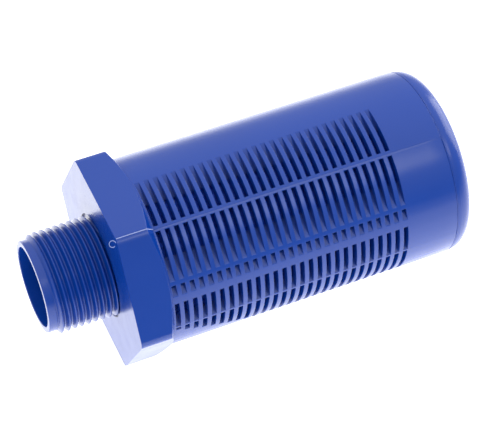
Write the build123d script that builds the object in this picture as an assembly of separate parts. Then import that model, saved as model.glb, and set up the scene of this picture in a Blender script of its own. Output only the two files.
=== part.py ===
from build123d import *
import os
from math import cos, radians, sin, tan

# Pneumatic muffler with a G 3/4 male port, lying on one flat of its hexagon.
# Frame: +X runs along the thread axis from the port to the closed end, +Z is up, and the origin is
# on the thread axis in the hexagon's seating face. All lengths are in millimetres.

# Port nipple
THREAD_DIAMETER = 26.441
THREAD_PITCH = 1.814
THREAD_DEPTH = 1.162
CREST_LAND = 0.30
ROOT_LAND = 0.35
CREST_OVERLAP = 0.5
THREAD_CRESTS = 9
NIPPLE_LENGTH = 18.0
FIRST_CREST_FROM_MOUTH = 2.7
MOUTH_CHAMFER = 0.3
PORT_BORE_DIAMETER = 21.0
SEAT_RECESS_DIAMETER = 27.4
SEAT_RECESS_DEPTH = 0.5

# Hexagon
HEX_ACROSS_FLATS = 49.8
HEX_THICKNESS = 10.2
HEX_EDGE_RADIUS = 2.5
HEX_REAR_CHAMFER_ANGLE = 30.0
END_WALL = 3.0

# Slotted barrel
BARREL_DIAMETER = 49.34
BARREL_BORE_DIAMETER = 44.0
BARREL_END = 88.3
JOINT_CHAMFER = 0.35

# Slot rings. The barrel is moulded in two halves that part on a plane through the axis, and every
# slot is cut straight along the direction in which its mould half opens. Places across that
# direction are measured from the axis.
PARTING_ANGLE = 29.0
SLOT_RINGS = 27
SLOT_PITCH = 2.397
SLOT_WIDTH = 1.2
FIRST_SLOT = 11.23
PARTING_RIB = 1.4
CUTTER_OVERSHOOT = 2.0
EDGE_COLUMN_FLOOR = 20.9
EDGE_CUT_END = 16.0
NARROW_COLUMN = (18.4, 20.25)
NARROW_CUT_START = 6.7
WIDE_COLUMN = (10.25, 16.85)
WIDE_CUT_START = 12.0
CENTRE_COLUMN_HALF = 9.7
CENTRE_CUT_START = 16.0
PLAIN_FIELD_END = 32.8
PLAIN_FIELD_SLOPE = 0.409

# End cap
CAP_END = 93.5
CAP_RIM_RADIUS = 4.8
CAP_WALL = 2.4
SPIGOT_LENGTH = 9.2
SPIGOT_WALL = 2.0
SPIGOT_CLEARANCE = 0.05

# Inner pack
TUBE_DIAMETER = 24.0
TUBE_BORE_DIAMETER = 20.4
TUBE_END = 78.0
TUBE_END_WALL = 1.5
TUBE_HOLE_DIAMETER = 4.0
TUBE_HOLE_ROWS = 11
TUBE_HOLES_AROUND = 8
TUBE_HOLE_PITCH = 6.0
FIRST_TUBE_HOLE = 12.0
COLLAR_WALL = 1.4
COLLAR_LENGTH = 4.0
SCREEN_THICKNESS = 0.4
INLET_PAD_LENGTH = 6.6
PACK_GAP = 0.2

THREAD_RADIUS = THREAD_DIAMETER / 2
THREAD_ROOT_RADIUS = THREAD_RADIUS - THREAD_DEPTH
PORT_BORE_RADIUS = PORT_BORE_DIAMETER / 2
BARREL_RADIUS = BARREL_DIAMETER / 2
BARREL_BORE_RADIUS = BARREL_BORE_DIAMETER / 2
TUBE_RADIUS = TUBE_DIAMETER / 2
COLLAR_BORE_RADIUS = TUBE_RADIUS + PACK_GAP / 2
COLLAR_RADIUS = COLLAR_BORE_RADIUS + COLLAR_WALL
CORE_SCREEN_RADIUS = TUBE_RADIUS + PACK_GAP + SCREEN_THICKNESS
OUTER_SCREEN_RADIUS = BARREL_BORE_RADIUS - PACK_GAP
PACK_RADIUS = OUTER_SCREEN_RADIUS - SCREEN_THICKNESS - PACK_GAP
PACK_START = END_WALL + PACK_GAP
PACK_END = BARREL_END - SPIGOT_LENGTH - PACK_GAP
SLEEVE_START = PACK_START + INLET_PAD_LENGTH + PACK_GAP


def ring(start, end, inner_radius, outer_radius):
    """A plain tube about the X axis."""
    profile = Plane.YZ.offset(start) * (Circle(outer_radius) - Circle(inner_radius))
    return extrude(profile, end - start)


def disc(start, end, radius):
    """A plain disc about the X axis."""
    return extrude(Plane.YZ.offset(start) * Circle(radius), end - start)


def turned(points):
    """A solid of revolution about the X axis from (distance along X, radius) points."""
    outline = make_face(Polyline(*[(x, 0, radius) for x, radius in points], close=True))
    return revolve(outline, Axis.X, 360)


def thread_crests():
    """The crests of the G 3/4 thread, each one its own ridge with 55 degree flanks."""
    flank = (THREAD_PITCH - CREST_LAND - ROOT_LAND) / 2
    half_root = CREST_LAND / 2 + flank
    half_crest = CREST_LAND / 2
    first = -NIPPLE_LENGTH + FIRST_CREST_FROM_MOUTH
    inside = THREAD_ROOT_RADIUS - CREST_OVERLAP
    crests = []
    for turn in range(THREAD_CRESTS):
        centre = first + turn * THREAD_PITCH
        rear = min(centre + half_root, SEAT_RECESS_DEPTH)
        crests.append(
            turned(
                [
                    (centre - half_root, inside),
                    (centre - half_root, THREAD_ROOT_RADIUS),
                    (centre - half_crest, THREAD_RADIUS),
                    (centre + half_crest, THREAD_RADIUS),
                    (rear, THREAD_ROOT_RADIUS),
                    (rear, inside),
                ]
            )
        )
    return crests


def nipple():
    """The threaded nipple with its plain lead-in, still solid inside."""
    mouth = -NIPPLE_LENGTH
    core = turned(
        [
            (mouth, 0),
            (mouth, THREAD_ROOT_RADIUS - MOUTH_CHAMFER),
            (mouth + MOUTH_CHAMFER, THREAD_ROOT_RADIUS),
            (END_WALL, THREAD_ROOT_RADIUS),
            (END_WALL, 0),
        ]
    )
    return core.fuse(*thread_crests())


def hexagon():
    """The spanner hexagon, with its long edges rounded and its rear corners chamfered."""
    apothem = HEX_ACROSS_FLATS / 2
    prism = extrude(Plane.YZ * RegularPolygon(apothem, 6, major_radius=False), HEX_THICKNESS)
    prism = fillet(prism.edges().filter_by(Axis.X), HEX_EDGE_RADIUS)
    corner = apothem / cos(radians(30))
    drop = (corner - apothem) * tan(radians(HEX_REAR_CHAMFER_ANGLE))
    envelope = turned(
        [
            (0, 0),
            (0, corner),
            (HEX_THICKNESS - drop, corner),
            (HEX_THICKNESS, apothem),
            (HEX_THICKNESS, 0),
        ]
    )
    recess = ring(0, SEAT_RECESS_DEPTH, THREAD_ROOT_RADIUS, SEAT_RECESS_DIAMETER / 2)
    return (prism & envelope) - recess


def barrel():
    """The plain barrel before its slots are cut, still solid inside."""
    return turned(
        [
            (HEX_THICKNESS / 2, 0),
            (HEX_THICKNESS / 2, BARREL_RADIUS),
            (BARREL_END - JOINT_CHAMFER, BARREL_RADIUS),
            (BARREL_END, BARREL_RADIUS - JOINT_CHAMFER),
            (BARREL_END, 0),
        ]
    )


def slot_columns(x):
    """The slots of one ring, as (low, high) across the opening direction and (near, far) along it."""
    outside = BARREL_RADIUS + CUTTER_OVERSHOOT
    rib = PARTING_RIB / 2
    plain_half = max(PLAIN_FIELD_SLOPE * (PLAIN_FIELD_END - x), 0)
    columns = []
    for side in (1, -1):
        edge = (side * EDGE_COLUMN_FLOOR, side * outside)
        columns.append((*edge, rib, EDGE_CUT_END))
        columns.append((*edge, -EDGE_CUT_END, -rib))
        columns.append((side * NARROW_COLUMN[0], side * NARROW_COLUMN[1], NARROW_CUT_START, outside))
        columns.append((side * WIDE_COLUMN[0], side * WIDE_COLUMN[1], WIDE_CUT_START, outside))
        if plain_half > 0:
            columns.append((side * plain_half, side * CENTRE_COLUMN_HALF, CENTRE_CUT_START, outside))
    if plain_half == 0:
        columns.append((-CENTRE_COLUMN_HALF, CENTRE_COLUMN_HALF, CENTRE_CUT_START, outside))
    return columns


def slot_ring(x):
    """One ring of slot cutters, standing across the axis at x."""
    # the plane's own X points across the mould's opening direction and its own Y along it
    across = radians(PARTING_ANGLE)
    plane = Plane(origin=(x - SLOT_WIDTH / 2, 0, 0), x_dir=(0, -sin(across), cos(across)), z_dir=(1, 0, 0))
    cutters = []
    for low, high, near, far in slot_columns(x):
        centre = Pos((low + high) / 2, (near + far) / 2)
        cutters.append(extrude(plane * centre * Rectangle(abs(high - low), abs(far - near)), SLOT_WIDTH))
    return cutters


def housing():
    """The one-piece moulding: nipple, hexagon, slotted barrel and the collar that holds the core tube."""
    solid = hexagon().fuse(barrel(), nipple())
    solid -= disc(END_WALL, BARREL_END, BARREL_BORE_RADIUS)
    solid -= disc(-NIPPLE_LENGTH, END_WALL, PORT_BORE_RADIUS)
    solid += ring(END_WALL, END_WALL + COLLAR_LENGTH, COLLAR_BORE_RADIUS, COLLAR_RADIUS)
    cutters = []
    for index in range(SLOT_RINGS):
        cutters.extend(slot_ring(FIRST_SLOT + index * SLOT_PITCH))
    return solid.cut(*cutters)


def end_cap():
    """The moulded cap: a rounded shell with a spigot that is welded into the barrel."""
    spigot_radius = BARREL_BORE_RADIUS - SPIGOT_CLEARANCE
    spigot_inner = spigot_radius - SPIGOT_WALL
    spigot_start = BARREL_END - SPIGOT_LENGTH
    shell = disc(BARREL_END, CAP_END, BARREL_RADIUS)
    shell = fillet(shell.edges().sort_by(Axis.X)[-1], CAP_RIM_RADIUS)
    shell = chamfer(shell.edges().sort_by(Axis.X)[0], JOINT_CHAMFER)
    spigot = ring(spigot_start, BARREL_END, spigot_inner, spigot_radius)
    hollow = disc(BARREL_END, CAP_END - CAP_WALL, spigot_inner)
    return shell.fuse(spigot) - hollow


def core_tube():
    """The perforated core tube, open at the port and closed at its far end."""
    tube = ring(END_WALL, TUBE_END, TUBE_BORE_DIAMETER / 2, TUBE_RADIUS)
    tube += disc(TUBE_END - TUBE_END_WALL, TUBE_END, TUBE_RADIUS)
    drills = []
    for row in range(TUBE_HOLE_ROWS):
        x = FIRST_TUBE_HOLE + row * TUBE_HOLE_PITCH
        turn = (row % 2) * 180 / TUBE_HOLES_AROUND
        for index in range(TUBE_HOLES_AROUND // 2):
            angle = turn + index * 360 / TUBE_HOLES_AROUND
            drill = Cylinder(TUBE_HOLE_DIAMETER / 2, TUBE_DIAMETER + 2)
            drills.append(Pos(x, 0, 0) * Rot(angle, 0, 0) * drill)
    return tube.cut(*drills)


def core_screen():
    """The fine screen wrapped round the core tube."""
    start = END_WALL + COLLAR_LENGTH + PACK_GAP
    return ring(start, TUBE_END, TUBE_RADIUS + PACK_GAP, CORE_SCREEN_RADIUS)


def absorber_sleeve():
    """The thick felt sleeve that fills the barrel between the two screens."""
    return ring(SLEEVE_START, PACK_END, CORE_SCREEN_RADIUS + PACK_GAP, PACK_RADIUS)


def outer_screen():
    """The coarse screen that keeps the felt off the slots."""
    return ring(PACK_START, PACK_END, OUTER_SCREEN_RADIUS - SCREEN_THICKNESS, OUTER_SCREEN_RADIUS)


def inlet_pad():
    """The felt ring round the collar, inside the hexagon."""
    return ring(PACK_START, PACK_START + INLET_PAD_LENGTH, COLLAR_RADIUS + PACK_GAP, PACK_RADIUS)


def end_pad():
    """The felt disc between the closed end of the core tube and the cap."""
    radius = BARREL_BORE_RADIUS - SPIGOT_CLEARANCE - SPIGOT_WALL - PACK_GAP
    return disc(PACK_END + PACK_GAP, CAP_END - CAP_WALL - PACK_GAP, radius)


PARTS = {
    "housing": housing,
    "end_cap": end_cap,
    "core_tube": core_tube,
    "core_screen": core_screen,
    "absorber_sleeve": absorber_sleeve,
    "outer_screen": outer_screen,
    "inlet_pad": inlet_pad,
    "end_pad": end_pad,
}

os.makedirs("parts", exist_ok=True)
for name, build in PARTS.items():
    export_step(build(), f"parts/{name}.step")
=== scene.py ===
from math import asin, cos, degrees, hypot, pi, radians, sin, tan

import bmesh
import bpy
from mathutils import Matrix, Vector, noise


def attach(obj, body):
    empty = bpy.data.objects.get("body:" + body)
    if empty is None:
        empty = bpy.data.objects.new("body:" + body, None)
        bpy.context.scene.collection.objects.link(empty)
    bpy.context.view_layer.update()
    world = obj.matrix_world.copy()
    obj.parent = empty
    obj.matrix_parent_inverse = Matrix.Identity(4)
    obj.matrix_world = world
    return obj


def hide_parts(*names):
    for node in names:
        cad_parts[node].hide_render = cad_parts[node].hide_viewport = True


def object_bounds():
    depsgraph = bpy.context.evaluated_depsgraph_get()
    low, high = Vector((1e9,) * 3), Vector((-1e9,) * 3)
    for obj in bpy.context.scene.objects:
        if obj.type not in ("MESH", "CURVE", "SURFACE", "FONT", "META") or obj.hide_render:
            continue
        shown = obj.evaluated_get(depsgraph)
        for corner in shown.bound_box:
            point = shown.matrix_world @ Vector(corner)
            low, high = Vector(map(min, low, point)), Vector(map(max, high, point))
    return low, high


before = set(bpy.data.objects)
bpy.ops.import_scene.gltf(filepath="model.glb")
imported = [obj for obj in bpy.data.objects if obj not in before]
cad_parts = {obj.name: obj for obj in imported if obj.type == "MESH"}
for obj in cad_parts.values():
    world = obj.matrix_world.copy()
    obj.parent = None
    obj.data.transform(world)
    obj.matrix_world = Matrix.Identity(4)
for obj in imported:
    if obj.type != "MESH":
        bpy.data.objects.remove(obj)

# A pneumatic muffler with a G 3/4 port, lying on one flat of its hexagon on a pale table.
# X runs along the thread axis towards the closed end, Z is up. Piece sizes are in millimetres.

scene = bpy.context.scene
cad_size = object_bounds()
table_height = cad_size[0].z


# ---- Camera: a product view from above the port end, on a long lens.
LENS = 158.7
CAMERA_PLACE = (-0.10603, -0.33661, 0.41934)
CAMERA_TARGET = (0.040118, 0.0, -0.000243)

camera_data = bpy.data.cameras.new("camera")
camera_data.sensor_width = 36.0
camera_data.lens = LENS
camera = bpy.data.objects.new("camera", camera_data)
camera.location = CAMERA_PLACE
sight = Vector(CAMERA_TARGET) - camera.location
camera.rotation_euler = sight.to_track_quat("-Z", "Y").to_euler()
scene.collection.objects.link(camera)
scene.camera = camera
scene.view_settings.view_transform = "Standard"


# ---- Table: an opal acrylic light table, lit from below and brightest in the middle. It washes out
# every shadow, and its glow is what the steep faces of the muffler mirror.
# glow far away and in the middle, and the distances in metres at which it fades from one to the other
TABLE_GLOW = (0.05, 1.6)
GLOW_REACH = (0.03, 0.32)
GLOW_CENTRE = (0.04, 0.0, table_height)
OPAL_WHITE = "#DCDCDE"
LAMP_WHITE = "#FFFFFF"
TABLE_SIZE = 6.0


def linear(hex_colour):
    """An sRGB hex colour as the linear values that a shader takes."""
    channels = [int(hex_colour[i:i + 2], 16) / 255 for i in (1, 3, 5)]
    return tuple(c / 12.92 if c <= 0.04045 else ((c + 0.055) / 1.055) ** 2.4 for c in channels) + (1.0,)


def add_node(owner, kind, properties=None, sockets=None):
    """Adds a shader node; a socket given another node's output is linked, any other is set."""
    tree = owner.node_tree
    new = tree.nodes.new(kind)
    for name, value in (properties or {}).items():
        setattr(new, name, value)
    for name, value in (sockets or {}).items():
        if isinstance(value, bpy.types.NodeSocket):
            tree.links.new(value, new.inputs[name])
        else:
            new.inputs[name].default_value = value
    return new


def new_material(name):
    """An empty node material and its output node."""
    material = bpy.data.materials.new(name)
    material.use_nodes = True
    material.node_tree.nodes.clear()
    return material, add_node(material, "ShaderNodeOutputMaterial")


opal, opal_output = new_material("opal_acrylic_lit")
table_place = add_node(opal, "ShaderNodeTexCoord")
from_middle = add_node(opal, "ShaderNodeVectorMath", {"operation": "DISTANCE"}, {
    0: table_place.outputs["Object"], 1: GLOW_CENTRE,
})
glow = add_node(opal, "ShaderNodeMapRange", {"interpolation_type": "SMOOTHSTEP"}, {
    "Value": from_middle.outputs["Value"],
    "From Min": GLOW_REACH[0], "From Max": GLOW_REACH[1],
    "To Min": TABLE_GLOW[1], "To Max": TABLE_GLOW[0],
})
opal_shader = add_node(opal, "ShaderNodeBsdfPrincipled", sockets={
    "Base Color": linear(OPAL_WHITE), "Roughness": 0.5,
    "Emission Color": linear(LAMP_WHITE), "Emission Strength": glow.outputs["Result"],
})
opal.node_tree.links.new(opal_shader.outputs["BSDF"], opal_output.inputs["Surface"])

table_mesh = bpy.data.meshes.new("table")
table_bm = bmesh.new()
bmesh.ops.create_grid(table_bm, x_segments=1, y_segments=1, size=TABLE_SIZE / 2)
bmesh.ops.translate(table_bm, verts=table_bm.verts, vec=(0, 0, table_height))
table_bm.to_mesh(table_mesh)
table_bm.free()
table_mesh.materials.append(opal)
table = bpy.data.objects.new("table", table_mesh)
scene.collection.objects.link(table)


# ---- Studio light: a white tent that is brightest overhead and dim at the height of the table,
# more so on the camera's side. Two soft panels add the sheen along the barrel and light the rim
# of the cap. The tent's numbers are its level at the horizon and its rise upwards and to the back.
TENT_LEVEL = 0.55
TENT_RISE = 0.85
TENT_BACK = 0.22
PANEL_CENTRE = (0.08, 0, 0)
PANELS = (
    # name, direction from the muffler, distance, side length, radiance
    ("sheen_panel", (0.236, -0.574, 0.784), 0.9, 0.28, 2.3),
    ("end_panel", (0.93, 0.25, 0.30), 0.8, 0.60, 3.5),
)

tent = bpy.data.worlds.new("tent")
tent.use_nodes = True
way = add_node(tent, "ShaderNodeSeparateXYZ", sockets={
    "Vector": add_node(tent, "ShaderNodeTexCoord").outputs["Generated"],
})
height = add_node(tent, "ShaderNodeMath", {"operation": "MULTIPLY_ADD"}, {
    0: way.outputs["Z"], 1: TENT_RISE, 2: TENT_LEVEL,
})
level = add_node(tent, "ShaderNodeMath", {"operation": "MULTIPLY_ADD"}, {
    0: way.outputs["Y"], 1: TENT_BACK, 2: height.outputs["Value"],
})
tent.node_tree.nodes["Background"].inputs["Color"].default_value = linear(LAMP_WHITE)
tent.node_tree.links.new(
    level.outputs["Value"], tent.node_tree.nodes["Background"].inputs["Strength"]
)
scene.world = tent

for name, direction, distance, side, radiance in PANELS:
    panel_data = bpy.data.lights.new(name, "AREA")
    panel_data.shape = "SQUARE"
    panel_data.size = side
    panel_data.energy = radiance * pi * side * side
    panel = bpy.data.objects.new(name, panel_data)
    out = Vector(direction).normalized()
    panel.location = Vector(PANEL_CENTRE) + out * distance
    panel.rotation_euler = out.to_track_quat("Z", "Y").to_euler()
    scene.collection.objects.link(panel)


# ---- Housing, barrel: the slotted tube, moulded in one with the hexagon and the nipple. Its mould
# opens along a line 29 degrees off level, so every slot has straight walls along that line and
# the two mould halves leave a fine ridge where they met.
BARREL_RADIUS = 24.67
BARREL_BORE_RADIUS = 22.0
BARREL_START = 2.5
BARREL_END = 88.3
JOINT_CHAMFER = 0.35
PARTING_ANGLE = 29.0
SLOT_RINGS = 27
SLOT_PITCH = 2.397
SLOT_WIDTH = 1.2
FIRST_SLOT = 11.23
PARTING_RIB_HALF = 0.7
RIDGE_HALF = 0.13
RIDGE_HEIGHT = 0.05
HALF_MISMATCH = 0.04
EDGE_FLOOR = 20.9
NARROW_SLOT = (18.4, 20.25)
WIDE_SLOT = (10.25, 16.85)
CENTRE_HALF = 9.7
PLAIN_FIELD_END = 32.8
PLAIN_FIELD_SLOPE = 0.409
SLOT_EDGE_RADIUS = 0.13
SLOTS_START = 9.6
PLAIN_STATIONS = (77.0, 80.5, 84.0)
BARREL_MERGE = 0.002
MILLIMETRE = 0.001

opening = Vector((0, -cos(radians(PARTING_ANGLE)), -sin(radians(PARTING_ANGLE))))
across = Vector((0, -sin(radians(PARTING_ANGLE)), cos(radians(PARTING_ANGLE))))

# The barrel starts as a grid that is rolled up. Going round one side, from the opening direction to
# the back, these are the cells between each marked line and the next, and the cells of each slot.
RIB_LINES = (PARTING_RIB_HALF, RIDGE_HALF)
LINE_STEPS = (4, 4, 1, 6, 1, 2, 1, 8, 1, 1, 1, 1, 8, 16)
CENTRE_CELLS = (4, 8)
LOWER_SLOT_CELLS = ((9, 15), (16, 18), (19, 27), (31, 39))
SIDE_CELLS = sum(LINE_STEPS)
COLUMNS = 2 * SIDE_CELLS
PARTING_COLUMN = 29


def line_angles(radius, plain_half):
    """The angle of every line on one side of the barrel, in degrees from the opening direction."""
    def lower(distance):
        return degrees(asin(distance / radius))

    marks = [0, lower(plain_half), lower(CENTRE_HALF), lower(WIDE_SLOT[0]), lower(WIDE_SLOT[1])]
    marks += [lower(NARROW_SLOT[0]), lower(NARROW_SLOT[1]), lower(EDGE_FLOOR)]
    ribs = [lower(half) for half in RIB_LINES]
    marks += [90 - ribs[0], 90 - ribs[1], 90, 90 + ribs[1], 90 + ribs[0]]
    marks += [180 - lower(EDGE_FLOOR), 180]
    angles = [0]
    for start, end, steps in zip(marks, marks[1:], LINE_STEPS):
        angles += [start + (end - start) * step / steps for step in range(1, steps + 1)]
    return angles


slot_centres = [FIRST_SLOT + ring * SLOT_PITCH for ring in range(SLOT_RINGS)]
plain_halves = [max(PLAIN_FIELD_SLOPE * (PLAIN_FIELD_END - x), 0) for x in slot_centres]

# The barrel's section, walked once round: outside to the cap joint, then back along the bore.
stations = [(BARREL_START, CENTRE_HALF / 2), (SLOTS_START, plain_halves[0])]
for centre, half in zip(slot_centres, plain_halves):
    for edge in (-1, 1):
        stations.append((centre + edge * SLOT_WIDTH / 2, half or CENTRE_HALF / 2))
for x in (*PLAIN_STATIONS, BARREL_END - JOINT_CHAMFER):
    stations.append((x, CENTRE_HALF / 2))
FIRST_SLOT_ROW = 2
section = [(x, BARREL_RADIUS, half) for x, half in stations]
section.append((BARREL_END, BARREL_RADIUS - JOINT_CHAMFER, CENTRE_HALF / 2))
section.append((BARREL_END, BARREL_BORE_RADIUS, CENTRE_HALF / 2))
section += [(x, BARREL_BORE_RADIUS, half) for x, half in reversed(stations)]
ROWS = len(section)


def barrel_point(column, row):
    """Where a corner of the rolled-up grid lies on the barrel."""
    x, radius, half = section[row % ROWS]
    column %= COLUMNS
    side, line = (1, column) if column <= SIDE_CELLS else (-1, COLUMNS - column)
    angle = radians(line_angles(radius, half)[line])
    if radius == BARREL_RADIUS:
        if line == PARTING_COLUMN:
            radius += RIDGE_HEIGHT
        elif line < PARTING_COLUMN:
            radius -= HALF_MISMATCH
    return Vector((x, 0, 0)) + radius * (cos(angle) * opening + side * sin(angle) * across)


barrel = bmesh.new()
bmesh.ops.create_grid(barrel, x_segments=COLUMNS, y_segments=ROWS, size=0.5)
cells = {}
for face in barrel.faces:
    middle = face.calc_center_median()
    cells[int((middle.x + 0.5) * COLUMNS), int((middle.y + 0.5) * ROWS)] = face
for vert in barrel.verts:
    vert.co = barrel_point(round((vert.co.x + 0.5) * COLUMNS), round((vert.co.y + 0.5) * ROWS))
bmesh.ops.remove_doubles(barrel, verts=barrel.verts, dist=BARREL_MERGE)


def rim(faces):
    """The edges round a patch of faces."""
    inside = set(faces)
    return [e for f in faces for e in f.edges if len(inside.intersection(e.link_faces)) == 1]


slot_rims = []
for ring in range(SLOT_RINGS):
    outer_row = FIRST_SLOT_ROW + 2 * ring
    inner_row = ROWS - 2 - outer_row
    ranges = [range(a, b) for a, b in LOWER_SLOT_CELLS]
    ranges += [range(COLUMNS - b, COLUMNS - a) for a, b in LOWER_SLOT_CELLS]
    first, last = CENTRE_CELLS
    if plain_halves[ring]:
        ranges += [range(first, last), range(COLUMNS - last, COLUMNS - first)]
    else:
        ranges.append(range(-last, last))
    for columns in ranges:
        outer = [cells[c % COLUMNS, outer_row] for c in columns]
        inner = [cells[c % COLUMNS, inner_row] for c in columns]
        outer_rim, inner_rim = rim(outer), rim(inner)
        bmesh.ops.delete(barrel, geom=outer + inner, context="FACES")
        bmesh.ops.bridge_loops(barrel, edges=outer_rim + inner_rim)
        slot_rims += outer_rim
bmesh.ops.recalc_face_normals(barrel, faces=barrel.faces)
bmesh.ops.bevel(
    barrel, geom=slot_rims, offset=SLOT_EDGE_RADIUS, offset_type="OFFSET", affect="EDGES",
    segments=2, profile=0.5, material=-1, clamp_overlap=True,
)


# ---- Housing, hexagon: a 50 mm spanner hexagon moulded round the port. Its six long edges are
# rounded by the mould, its rear corners are chamfered at 30 degrees, and a shallow ring is
# sunk round the thread so that a seal can sit flat.
ACROSS_FLATS = 49.8
HEX_THICKNESS = 10.2
HEX_EDGE_RADIUS = 2.5
REAR_CHAMFER = 30.0
REAR_LAND = 0.25
FACE_EDGE_RADIUS = 0.3
REAR_EDGE_RADIUS = 0.11
SHARP_FROM = 24.0
SHORT_EDGE = 0.06
SLIVER = 0.001
HEX_MERGE = 0.002
OVERSHOOT = 1
BLANK_STEPS = 192
SEAT_RECESS = (13.7, 0.5)
END_WALL = 3.0
PORT_BORE_RADIUS = 10.5
COLLAR = (12.1, 13.5, 7.0)
HEX_CAVITY_RADIUS = 23.3
HEX_PORT_RADIUS = 11.2


def turned(profile, steps=128):
    """A closed solid turned about the X axis from (distance along X, radius) points."""
    lathe = bmesh.new()
    points = [lathe.verts.new((x, 0, radius)) for x, radius in profile]
    closed = profile[0][1] > 0
    pairs = zip(points, points[1:] + points[:1]) if closed else zip(points, points[1:])
    edges = [lathe.edges.new(pair) for pair in pairs]
    bmesh.ops.spin(
        lathe, geom=points + edges, cent=(0, 0, 0), axis=(1, 0, 0), dvec=(0, 0, 0),
        angle=2 * pi, steps=steps, use_merge=True,
    )
    bmesh.ops.remove_doubles(lathe, verts=lathe.verts, dist=SLIVER)
    bmesh.ops.recalc_face_normals(lathe, faces=lathe.faces)
    return lathe


def temporary(mesh_bm, name):
    """A helper object that holds a bmesh while booleans use it."""
    mesh = bpy.data.meshes.new(name)
    mesh_bm.to_mesh(mesh)
    mesh_bm.free()
    helper = bpy.data.objects.new(name, mesh)
    scene.collection.objects.link(helper)
    return helper


def combined(base, other, operation):
    """Joins, cuts or trims one helper object with another, which is used up."""
    step = base.modifiers.new("boolean", "BOOLEAN")
    step.operation = operation
    step.solver = "MANIFOLD"
    step.object = other
    graph = bpy.context.evaluated_depsgraph_get()
    result = bpy.data.meshes.new_from_object(base.evaluated_get(graph))
    base.modifiers.clear()
    base.data = result
    bpy.data.objects.remove(other)
    return base


apothem = ACROSS_FLATS / 2
corner = apothem / cos(radians(30))
prism = bmesh.new()
bmesh.ops.create_circle(prism, segments=6, radius=corner, cap_ends=True)
along_x = Matrix.Rotation(radians(90), 3, "Y")
bmesh.ops.rotate(prism, verts=prism.verts, cent=(0, 0, 0), matrix=along_x)
thickness = bmesh.ops.extrude_face_region(prism, geom=prism.faces[:])
far_side = [item for item in thickness["geom"] if isinstance(item, bmesh.types.BMVert)]
bmesh.ops.translate(prism, verts=far_side, vec=(HEX_THICKNESS, 0, 0))
bmesh.ops.recalc_face_normals(prism, faces=prism.faces)
long_edges = [e for e in prism.edges if abs(e.verts[0].co.x - e.verts[1].co.x) > 1]
bmesh.ops.bevel(
    prism, geom=long_edges, offset=HEX_EDGE_RADIUS * tan(radians(30)), offset_type="OFFSET",
    affect="EDGES", segments=6, profile=0.5, material=-1,
)
hexagon = temporary(prism, "hexagon")

rise = (corner + OVERSHOOT - apothem + REAR_LAND) * tan(radians(REAR_CHAMFER))
blank = turned([
    (-OVERSHOOT, 0), (-OVERSHOOT, corner + OVERSHOOT), (HEX_THICKNESS - rise, corner + OVERSHOOT),
    (HEX_THICKNESS, apothem - REAR_LAND), (HEX_THICKNESS, 0),
], BLANK_STEPS)
hexagon = combined(hexagon, temporary(blank, "blank"), "INTERSECT")

worked = bmesh.new()
worked.from_mesh(hexagon.data)
bmesh.ops.remove_doubles(worked, verts=worked.verts, dist=SHORT_EDGE)
bmesh.ops.dissolve_degenerate(worked, edges=worked.edges, dist=SLIVER)
front_edges = (FACE_EDGE_RADIUS, 0, 0.01)
rear_edges = (REAR_EDGE_RADIUS, HEX_THICKNESS / 3, HEX_THICKNESS + OVERSHOOT)
for radius, first_x, last_x in (front_edges, rear_edges):
    sharp = [
        e for e in worked.edges
        if len(e.link_faces) == 2 and e.calc_face_angle() > radians(SHARP_FROM)
        and all(first_x <= v.co.x <= last_x for v in e.verts)
    ]
    bmesh.ops.bevel(
        worked, geom=sharp, offset=radius, offset_type="OFFSET", affect="EDGES",
        segments=3, profile=0.5, material=-1, clamp_overlap=True,
    )
bmesh.ops.remove_doubles(worked, verts=worked.verts, dist=HEX_MERGE)
bmesh.ops.dissolve_degenerate(worked, edges=worked.edges, dist=HEX_MERGE)
worked.to_mesh(hexagon.data)
worked.free()

collar_bore, collar_radius, collar_end = COLLAR
hollow = turned([
    (-OVERSHOOT, 0), (-OVERSHOOT, SEAT_RECESS[0]), (SEAT_RECESS[1], SEAT_RECESS[0]),
    (SEAT_RECESS[1], HEX_PORT_RADIUS), (END_WALL, HEX_PORT_RADIUS), (END_WALL, collar_bore),
    (collar_end, collar_bore), (collar_end, collar_radius), (END_WALL, collar_radius),
    (END_WALL, HEX_CAVITY_RADIUS), (HEX_THICKNESS + OVERSHOOT, HEX_CAVITY_RADIUS),
    (HEX_THICKNESS + OVERSHOOT, 0),
])
hexagon = combined(hexagon, temporary(hollow, "hollow"), "DIFFERENCE")


# ---- Housing, nipple: the G 3/4 male thread, 14 turns to the inch with 55 degree flanks. Moulded,
# so its crests and roots are rounded, and it starts behind a plain lead-in with a tapered turn.
THREAD_RADIUS = 13.2205
THREAD_ROOT_RADIUS = 12.0585
THREAD_PITCH = 1.814
THREAD_TURNS = 13
TURN_STEPS = 96
THREAD_PHASE = -13.448 - 4 * THREAD_PITCH
LEAD_IN = (-16.1, -15.1)
RUN_OUT = (0.0, 0.4)
MOUTH = -18.0
MOUTH_RADIUS = 0.3
NIPPLE_BACK = 2.9
NIPPLE_OVERLAP = 0.2
THREAD_MERGE = 0.003
# the mouth's rounded rims: distance in from the mouth, and the drop below or rise above the wall
OUTER_RIM = ((0.13, 0.04), (0.04, 0.13), (0.0, MOUTH_RADIUS))
INNER_RIM = ((0.0, 0.2), (0.06, 0.06), (0.2, 0.0))
# half of one thread form: distance from the crest, height above the root
THREAD_FORM = ((0.0, 1.162), (0.12, 1.14), (0.21, 1.03), (0.68, 0.13), (0.77, 0.03), (0.907, 0.0))

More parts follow.
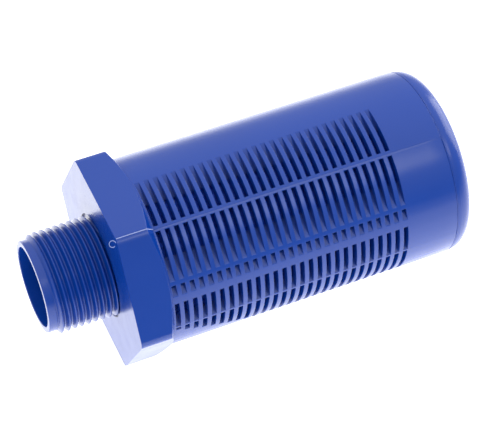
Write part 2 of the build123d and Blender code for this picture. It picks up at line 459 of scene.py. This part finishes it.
nipple = bmesh.new()
form = [(-x, height) for x, height in reversed(THREAD_FORM[1:])] + list(THREAD_FORM)
points = [
    nipple.verts.new((THREAD_PHASE + x, 0, THREAD_ROOT_RADIUS + height)) for x, height in form
]
edges = [nipple.edges.new(pair) for pair in zip(points, points[1:])]
bmesh.ops.spin(
    nipple, geom=points + edges, cent=(0, 0, 0), axis=(1, 0, 0), angle=2 * pi * THREAD_TURNS,
    dvec=(THREAD_PITCH / TURN_STEPS, 0, 0), steps=THREAD_TURNS * TURN_STEPS,
)
bmesh.ops.remove_doubles(nipple, verts=nipple.verts, dist=THREAD_MERGE)
for vert in nipple.verts:
    x, y, z = vert.co
    start = min(max((x - LEAD_IN[0]) / (LEAD_IN[1] - LEAD_IN[0]), 0), 1)
    end = min(max((RUN_OUT[1] - x) / (RUN_OUT[1] - RUN_OUT[0]), 0), 1)
    limit = THREAD_ROOT_RADIUS + min(start, end) * (THREAD_RADIUS - THREAD_ROOT_RADIUS)
    radius = hypot(y, z)
    if radius > limit:
        vert.co = (x, y * limit / radius, z * limit / radius)
for cut, side in ((MOUTH + MOUTH_RADIUS, -1), (SEAT_RECESS[1] + NIPPLE_OVERLAP, 1)):
    bmesh.ops.bisect_plane(
        nipple, geom=nipple.verts[:] + nipple.edges[:] + nipple.faces[:], dist=0.0005,
        plane_co=(cut, 0, 0), plane_no=(side, 0, 0), clear_outer=True,
    )


def open_edges(mesh_bm, side):
    """The open edges at the mouth (-1) or at the back (1) of the nipple."""
    middle = (MOUTH + NIPPLE_BACK) / 2
    return [e for e in mesh_bm.edges if e.is_boundary and (e.verts[0].co.x - middle) * side > 0]


def step_to(mesh_bm, edges, x, radius):
    """Extrudes a round open edge to a new place along X and a new radius."""
    grown = bmesh.ops.extrude_edge_only(mesh_bm, edges=edges)["geom"]
    for item in grown:
        if isinstance(item, bmesh.types.BMVert):
            scale = radius / hypot(item.co.y, item.co.z)
            item.co = (x, item.co.y * scale, item.co.z * scale)
    return [item for item in grown if isinstance(item, bmesh.types.BMEdge) and item.is_boundary]


mouth_edge, back_edge = open_edges(nipple, -1), open_edges(nipple, 1)
back_edge = step_to(nipple, back_edge, NIPPLE_BACK, THREAD_ROOT_RADIUS - NIPPLE_OVERLAP)
lip = [(MOUTH + inward, THREAD_ROOT_RADIUS - drop) for inward, drop in OUTER_RIM]
lip += [(MOUTH + inward, PORT_BORE_RADIUS + rise) for inward, rise in INNER_RIM]
for x, radius in (*lip, (NIPPLE_BACK, PORT_BORE_RADIUS)):
    mouth_edge = step_to(nipple, mouth_edge, x, radius)
bmesh.ops.bridge_loops(nipple, edges=mouth_edge + back_edge)
bmesh.ops.recalc_face_normals(nipple, faces=nipple.faces)


# ---- Housing, finish: the three shells are one injection moulding in glossy blue acetal. Its skin
# copies the polished mould, with faint flow clouding and a very fine unevenness in the gloss.
PLASTIC_BLUE = "#063D9C"
PLASTIC_BLUE_DEEP = "#053994"
FLOW_CLOUD = 28.0
GLOSS_PATCH = 5.0
SKIN_GRAIN = 0.35
GRAIN_STRENGTH = 0.12
GRAIN_DEPTH = 0.02
ACETAL_GLOSS = (0.17, 0.27)
PLASTIC_IOR = 1.48
SHARP_ANGLE = 50.0
JOIN_MERGE = 0.003


def per_metre(size):
    """The texture scale that gives a pattern of this size in millimetres."""
    return 1 / (size * MILLIMETRE)


def material_shader(material, output, sockets):
    """The main shader of a material, joined to its output."""
    shader = add_node(material, "ShaderNodeBsdfPrincipled", sockets=sockets)
    material.node_tree.links.new(shader.outputs["BSDF"], output.inputs["Surface"])
    return shader


def noise_pattern(material, size, detail):
    """A cloud pattern of this size in millimetres on the piece itself."""
    place = add_node(material, "ShaderNodeTexCoord")
    return add_node(material, "ShaderNodeTexNoise", sockets={
        "Vector": place.outputs["Object"], "Scale": per_metre(size), "Detail": detail,
    })


def moulded_plastic(name, colour, deep_colour, gloss):
    """Injection-moulded plastic: two close tones in soft clouds, gloss from low to high roughness."""
    material, output = new_material(name)
    cloud = noise_pattern(material, FLOW_CLOUD, 2.0)
    tone = add_node(material, "ShaderNodeMix", {"data_type": "RGBA"}, {
        "Factor": cloud.outputs["Fac"], 6: linear(deep_colour), 7: linear(colour),
    })
    patch = noise_pattern(material, GLOSS_PATCH, 3.0)
    roughness = add_node(material, "ShaderNodeMapRange", sockets={
        "Value": patch.outputs["Fac"], "To Min": gloss[0], "To Max": gloss[1],
    })
    grain = noise_pattern(material, SKIN_GRAIN, 2.0)
    bump = add_node(material, "ShaderNodeBump", sockets={
        "Height": grain.outputs["Fac"], "Strength": GRAIN_STRENGTH,
        "Distance": GRAIN_DEPTH * MILLIMETRE,
    })
    material_shader(material, output, {
        "Base Color": tone.outputs[2], "Roughness": roughness.outputs["Result"],
        "Normal": bump.outputs["Normal"], "IOR": PLASTIC_IOR,
    })
    return material


def finished(helper, name, material, node=None):
    """Turns a helper object, in millimetres, into a finished piece that stands for a CAD node."""
    helper.name = helper.data.name = name
    helper.data.transform(Matrix.Scale(MILLIMETRE, 4))
    helper.data.shade_smooth()
    helper.data.set_sharp_from_angle(angle=radians(SHARP_ANGLE))
    helper.data.materials.clear()
    helper.data.materials.append(material)
    normals = helper.modifiers.new("even_shading", "WEIGHTED_NORMAL")
    normals.keep_sharp = True
    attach(helper, "root")
    if node:
        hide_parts(node)
    return helper


acetal = moulded_plastic("moulded_acetal_blue", PLASTIC_BLUE, PLASTIC_BLUE_DEEP, ACETAL_GLOSS)
housing = combined(hexagon, temporary(barrel, "barrel"), "UNION")
housing = combined(housing, temporary(nipple, "nipple"), "UNION")
joined = bmesh.new()
joined.from_mesh(housing.data)
bmesh.ops.dissolve_degenerate(joined, edges=joined.edges, dist=JOIN_MERGE)
bmesh.ops.remove_doubles(joined, verts=joined.verts, dist=JOIN_MERGE)
joined.to_mesh(housing.data)
joined.free()
finished(housing, "housing_moulding", acetal, "housing")


# ---- Mould flash: the thin bead left where the mould halves met on the hexagon, and a torn curl of
# it at the front corner. The curl stretched as it tore, so it is whiter than the rest of the moulding;
# the bead is given the same pale colour as a painted highlight for the light line along it.
BEAD_HALF = 0.11
BEAD_HEIGHT = 0.07
BEAD_SINK = 0.25
BEAD_RADIUS = 28.32
# the bead's start along X, then its two runs: distance along X and rise from the axis
BEAD_START = 0.15
BEAD_RUNS = ((7.9, 0.0), (2.15, -3.35))
CURL_THICKNESS = 0.08
CURL_RADIUS = 0.8
CURL_CENTRE = (-1.0, -14.3, 24.0)
CURL_AXIS = (-0.262, -0.603, 0.752)
CURL_START = 20.0
CURL_SWEEP = 300.0
CURL_STEPS = 24
CURL_RISE = 0.03
# pale blues: stress whitening on the curl, and a painted highlight on the parting bead
WHITENED_AND_HIGHLIT_BLUE = "#A9B6E4"
WHITENED_AND_HIGHLIT_BLUE_DEEP = "#8FA0DA"
WHITENED_GLOSS = (0.25, 0.35)

outward = across
sideways = -opening
flash = bmesh.new()
outline = (
    (-BEAD_HALF, -BEAD_SINK), (-BEAD_HALF, 0), (-BEAD_HALF / 2, BEAD_HEIGHT),
    (BEAD_HALF / 2, BEAD_HEIGHT), (BEAD_HALF, 0), (BEAD_HALF, -BEAD_SINK),
)
run_start = Vector((BEAD_START, 0, 0)) + outward * BEAD_RADIUS
corners = [flash.verts.new(run_start + sideways * side + outward * up) for side, up in outline]
start_loop = [flash.edges.new(pair) for pair in zip(corners, corners[1:] + corners[:1])]
end_loop = start_loop
for along, rise in BEAD_RUNS:
    grown = bmesh.ops.extrude_edge_only(flash, edges=end_loop)["geom"]
    moved = [item for item in grown if isinstance(item, bmesh.types.BMVert)]
    bmesh.ops.translate(flash, verts=moved, vec=Vector((along, 0, 0)) + outward * rise)
    end_loop = [
        item for item in grown
        if isinstance(item, bmesh.types.BMEdge) and all(vert in moved for vert in item.verts)
    ]
bmesh.ops.edgeloop_fill(flash, edges=start_loop)
bmesh.ops.edgeloop_fill(flash, edges=end_loop)
curl_middle = Vector(CURL_CENTRE)
curl_axis = Vector(CURL_AXIS).normalized()
curl_spoke = curl_axis.cross(Vector((0, 0, 1))).normalized()
curl_spoke = Matrix.Rotation(radians(CURL_START), 3, curl_axis) @ -curl_spoke
tip = bmesh.ops.create_circle(flash, segments=8, radius=CURL_THICKNESS, cap_ends=True)["verts"]
to_tip = curl_axis.cross(curl_spoke).to_track_quat("Z", "Y").to_matrix()
bmesh.ops.rotate(flash, verts=tip, cent=(0, 0, 0), matrix=to_tip)
bmesh.ops.translate(flash, verts=tip, vec=curl_middle + curl_spoke * CURL_RADIUS)
bmesh.ops.spin(
    flash, geom=list({f for v in tip for f in v.link_faces}), cent=curl_middle, axis=curl_axis,
    angle=radians(CURL_SWEEP), steps=CURL_STEPS, dvec=curl_axis * CURL_RISE,
)
bmesh.ops.remove_doubles(flash, verts=flash.verts, dist=SLIVER)
bmesh.ops.recalc_face_normals(flash, faces=flash.faces)
# one pale material: real whitening on the torn curl, painted highlight on the parting bead
whitened_and_highlit = moulded_plastic(
    "stretched_acetal_whitened_and_painted_highlight", WHITENED_AND_HIGHLIT_BLUE, WHITENED_AND_HIGHLIT_BLUE_DEEP, WHITENED_GLOSS
)
finished(temporary(flash, "flash"), "mould_flash", whitened_and_highlit)


# ---- End cap: a separate moulding of the same acetal, spin-welded into the barrel by its spigot.
# Its rim is well rounded, and a small gate mark is left at the centre of its end face.
CAP_END = 93.5
CAP_RIM_RADIUS = 4.8
CAP_WALL = 2.4
CAP_OUTSIDE = 24.55
SPIGOT = (79.1, 19.95, 21.95)
CAP_JOINT_RADIUS = 0.3
CAP_BAND_END = 89.2
CAP_INNER_RADIUS = 1.0
CAP_STEPS = 144
# the gate mark's dish and the nub in it: radius, depth below the end face, width of the slope
GATE_DISH = (3.2, 0.25, 0.4)
GATE_NUB = (0.9, 0.12, 0.15)


def arc(centre_x, centre_radius, radius, start, end, steps):
    """Points on a rounded corner of a turned profile, from one angle to another in degrees."""
    turns = [radians(start + (end - start) * step / steps) for step in range(steps + 1)]
    return [(centre_x + radius * sin(t), centre_radius + radius * cos(t)) for t in turns]


spigot_start, spigot_inner, spigot_outer = SPIGOT
inner_face = CAP_END - CAP_WALL
inner_centre = (inner_face - CAP_INNER_RADIUS, spigot_inner - CAP_INNER_RADIUS)
joint_centre = (BARREL_END + CAP_JOINT_RADIUS, CAP_OUTSIDE - CAP_JOINT_RADIUS)
rim_centre = (CAP_END - CAP_RIM_RADIUS, CAP_OUTSIDE - CAP_RIM_RADIUS)
dish_radius, dish_depth, dish_slope = GATE_DISH
nub_radius, nub_depth, nub_slope = GATE_NUB
cap_profile = [(inner_face, 0), (inner_face, spigot_inner - CAP_INNER_RADIUS)]
cap_profile += arc(*inner_centre, CAP_INNER_RADIUS, 90, 0, 5)
cap_profile += [(spigot_start, spigot_inner), (spigot_start, spigot_outer)]
cap_profile += [(BARREL_END, spigot_outer), (BARREL_END, CAP_OUTSIDE - CAP_JOINT_RADIUS)]
cap_profile += arc(*joint_centre, CAP_JOINT_RADIUS, -60, 0, 3)
cap_profile += [(CAP_BAND_END, CAP_OUTSIDE)]
cap_profile += arc(*rim_centre, CAP_RIM_RADIUS, 6, 90, 14)
cap_profile += [(CAP_END, dish_radius + dish_slope), (CAP_END - dish_depth, dish_radius)]
cap_profile += [(CAP_END - dish_depth, nub_radius), (CAP_END - nub_depth, nub_radius - nub_slope)]
cap_profile += [(CAP_END - nub_depth, 0)]
cap = turned(cap_profile, CAP_STEPS)
finished(temporary(cap, "cap"), "end_cap_moulding", acetal, "end_cap")


# ---- Weld bead: the fine, uneven ring of melt pressed out of the joint when the cap was spun home.
# It is the cap's own acetal, and it catches the light in the groove.
WELD_RADIUS = 24.42
WELD_THICKNESS = 0.16
WELD_UNEVEN = 0.12
WELD_LUMP = 3.0
WELD_STEPS = 240

weld = bmesh.new()
ring_section = bmesh.ops.create_circle(weld, segments=8, radius=WELD_THICKNESS)["verts"]
upright = Matrix.Rotation(radians(90), 3, "X")
bmesh.ops.rotate(weld, verts=ring_section, cent=(0, 0, 0), matrix=upright)
bmesh.ops.translate(weld, verts=ring_section, vec=(BARREL_END, 0, WELD_RADIUS))
bmesh.ops.spin(
    weld, geom=weld.verts[:] + weld.edges[:], cent=(0, 0, 0), axis=(1, 0, 0), dvec=(0, 0, 0),
    angle=2 * pi, steps=WELD_STEPS, use_merge=True,
)
for vert in weld.verts:
    spoke = Vector((0, vert.co.y, vert.co.z)).normalized()
    vert.co += spoke * noise.noise(spoke * WELD_RADIUS / WELD_LUMP) * WELD_UNEVEN
bmesh.ops.recalc_face_normals(weld, faces=weld.faces)
finished(temporary(weld, "weld"), "weld_bead", acetal)


# ---- Core tube: a perforated tube that stands in the housing's collar. The gas leaves through its
# rows of holes. Moulded in black glass-filled nylon, whose fibres make the skin dull and uneven.
# Its shape is the frame's own.
NYLON_BLACK = "#1B1C20"
NYLON_BLACK_DEEP = "#131418"
NYLON_GLOSS = (0.42, 0.58)

nylon = moulded_plastic("moulded_nylon_black", NYLON_BLACK, NYLON_BLACK_DEEP, NYLON_GLOSS)
core_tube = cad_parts["core_tube"]
core_tube.data.materials.clear()
core_tube.data.materials.append(nylon)


# ---- Screens: two sleeves of plastic netting, one over the core tube and a coarser one that keeps
# the felt off the slots. Extruded in blue as square mesh and rolled up, it has a soft, waxy gloss.
SCREENS = (
    # name, node, start, end, middle radius, opening of the mesh, strand thickness
    ("outer_netting", "outer_screen", 3.2, 78.9, 21.6, 1.5, 0.36),
    ("core_netting", "core_screen", 7.2, 78.0, 12.4, 1.6, 0.36),
)
NETTING_BLUE = "#124AD0"
NETTING_BLUE_DEEP = "#0C3AAC"
NETTING_MOTTLE = 1.2
NETTING_MERGE = 0.01

netting, netting_output = new_material("extruded_netting_blue")
strand = noise_pattern(netting, NETTING_MOTTLE, 3.0)
strand_tone = add_node(netting, "ShaderNodeMix", {"data_type": "RGBA"}, {
    "Factor": strand.outputs["Fac"], 6: linear(NETTING_BLUE_DEEP), 7: linear(NETTING_BLUE),
})
material_shader(netting, netting_output, {
    "Base Color": strand_tone.outputs[2], "Roughness": 0.45, "IOR": 1.5,
})
for name, node, start, end, radius, pitch, strand_size in SCREENS:
    around = round(2 * pi * radius / pitch)
    lengthwise = round((end - start) / pitch)
    sheet = bmesh.new()
    bmesh.ops.create_grid(sheet, x_segments=around, y_segments=lengthwise, size=0.5)
    inset = strand_size / 2
    for vert in sheet.verts:
        turn = 2 * pi * (vert.co.x + 0.5)
        along = start + inset + (vert.co.y + 0.5) * (end - start - 2 * inset)
        vert.co = (along, -sin(turn) * radius, cos(turn) * radius)
    bmesh.ops.remove_doubles(sheet, verts=sheet.verts, dist=NETTING_MERGE)
    bmesh.ops.recalc_face_normals(sheet, faces=sheet.faces)
    screen = temporary(sheet, name)
    strands = screen.modifiers.new("strands", "WIREFRAME")
    strands.thickness = strand_size
    strands.use_even_offset = False
    strands.use_boundary = True
    graph = bpy.context.evaluated_depsgraph_get()
    screen.data = bpy.data.meshes.new_from_object(screen.evaluated_get(graph))
    screen.modifiers.clear()
    strand_mesh = bmesh.new()
    strand_mesh.from_mesh(screen.data)
    bmesh.ops.remove_doubles(strand_mesh, verts=strand_mesh.verts, dist=SLIVER)
    bmesh.ops.recalc_face_normals(strand_mesh, faces=strand_mesh.faces)
    strand_mesh.to_mesh(screen.data)
    strand_mesh.free()
    finished(screen, name, netting, node)


# ---- Felt: a thick needled polyester sleeve between the two screens, a ring inside the hexagon and
# a disc under the cap. Cut with a knife, so the faces are flat and the fibres stand off the surface.
FIBRE_LIFT = 0.16
FIBRE_CLUMP = 2.2
FIBRE_SIZE = 0.25
FIBRE_DEPTH = 0.2
FELT_BLUE = "#2054D8"
FELT_BLUE_DEEP = "#123CB4"
# lengths of the mesh's cells, along the roll and across its ends
FELT_CELL = (1.2, 1.6)
FELT_AROUND = 96
BORE_MARGIN = 0.1
FELTS = (
    # name, node, start, end, bore radius, outside radius
    ("felt_sleeve", "absorber_sleeve", 10.0, 78.9, 12.8, 21.2),
    ("felt_inlet_ring", "inlet_pad", 3.2, 9.8, 13.7, 21.2),
    ("felt_end_disc", "end_pad", 79.1, 90.9, 0.0, 19.75),
)
felt, felt_output = new_material("needled_polyester_felt")
fibre = noise_pattern(felt, FIBRE_SIZE, 6.0)
clump = noise_pattern(felt, FIBRE_CLUMP, 3.0)
felt_tone = add_node(felt, "ShaderNodeMix", {"data_type": "RGBA"}, {
    "Factor": fibre.outputs["Fac"], 6: linear(FELT_BLUE_DEEP), 7: linear(FELT_BLUE),
})
fuzz = add_node(felt, "ShaderNodeMath", {"operation": "ADD"}, {
    0: fibre.outputs["Fac"], 1: clump.outputs["Fac"],
})
felt_bump = add_node(felt, "ShaderNodeBump", sockets={
    "Height": fuzz.outputs["Value"], "Strength": 0.8, "Distance": FIBRE_DEPTH * MILLIMETRE,
})
material_shader(felt, felt_output, {
    "Base Color": felt_tone.outputs[2], "Roughness": 0.95, "Sheen Weight": 0.25,
    "Normal": felt_bump.outputs["Normal"],
})
for name, node, start, end, bore, outside in FELTS:
    rows = max(round((end - start) / FELT_CELL[0]), 4)
    wall = [(start + (end - start) * row / rows, outside) for row in range(rows + 1)]
    steps = max(round((outside - bore) / FELT_CELL[1]), 3)
    front = [(start, bore + (outside - bore) * step / steps) for step in range(steps)]
    back = [(end, outside - (outside - bore) * step / steps) for step in range(1, steps + 1)]
    roll = turned(front + wall + back, FELT_AROUND)
    for vert in roll.verts:
        lift = FIBRE_LIFT * (0.5 + 0.5 * noise.noise(vert.co / FIBRE_CLUMP))
        spoke = Vector((0, vert.co.y, vert.co.z))
        if spoke.length > bore + BORE_MARGIN:
            vert.co -= spoke.normalized() * lift
        vert.co.x += lift if vert.co.x < (start + end) / 2 else -lift
    piece = finished(temporary(roll, name), name, felt, node)
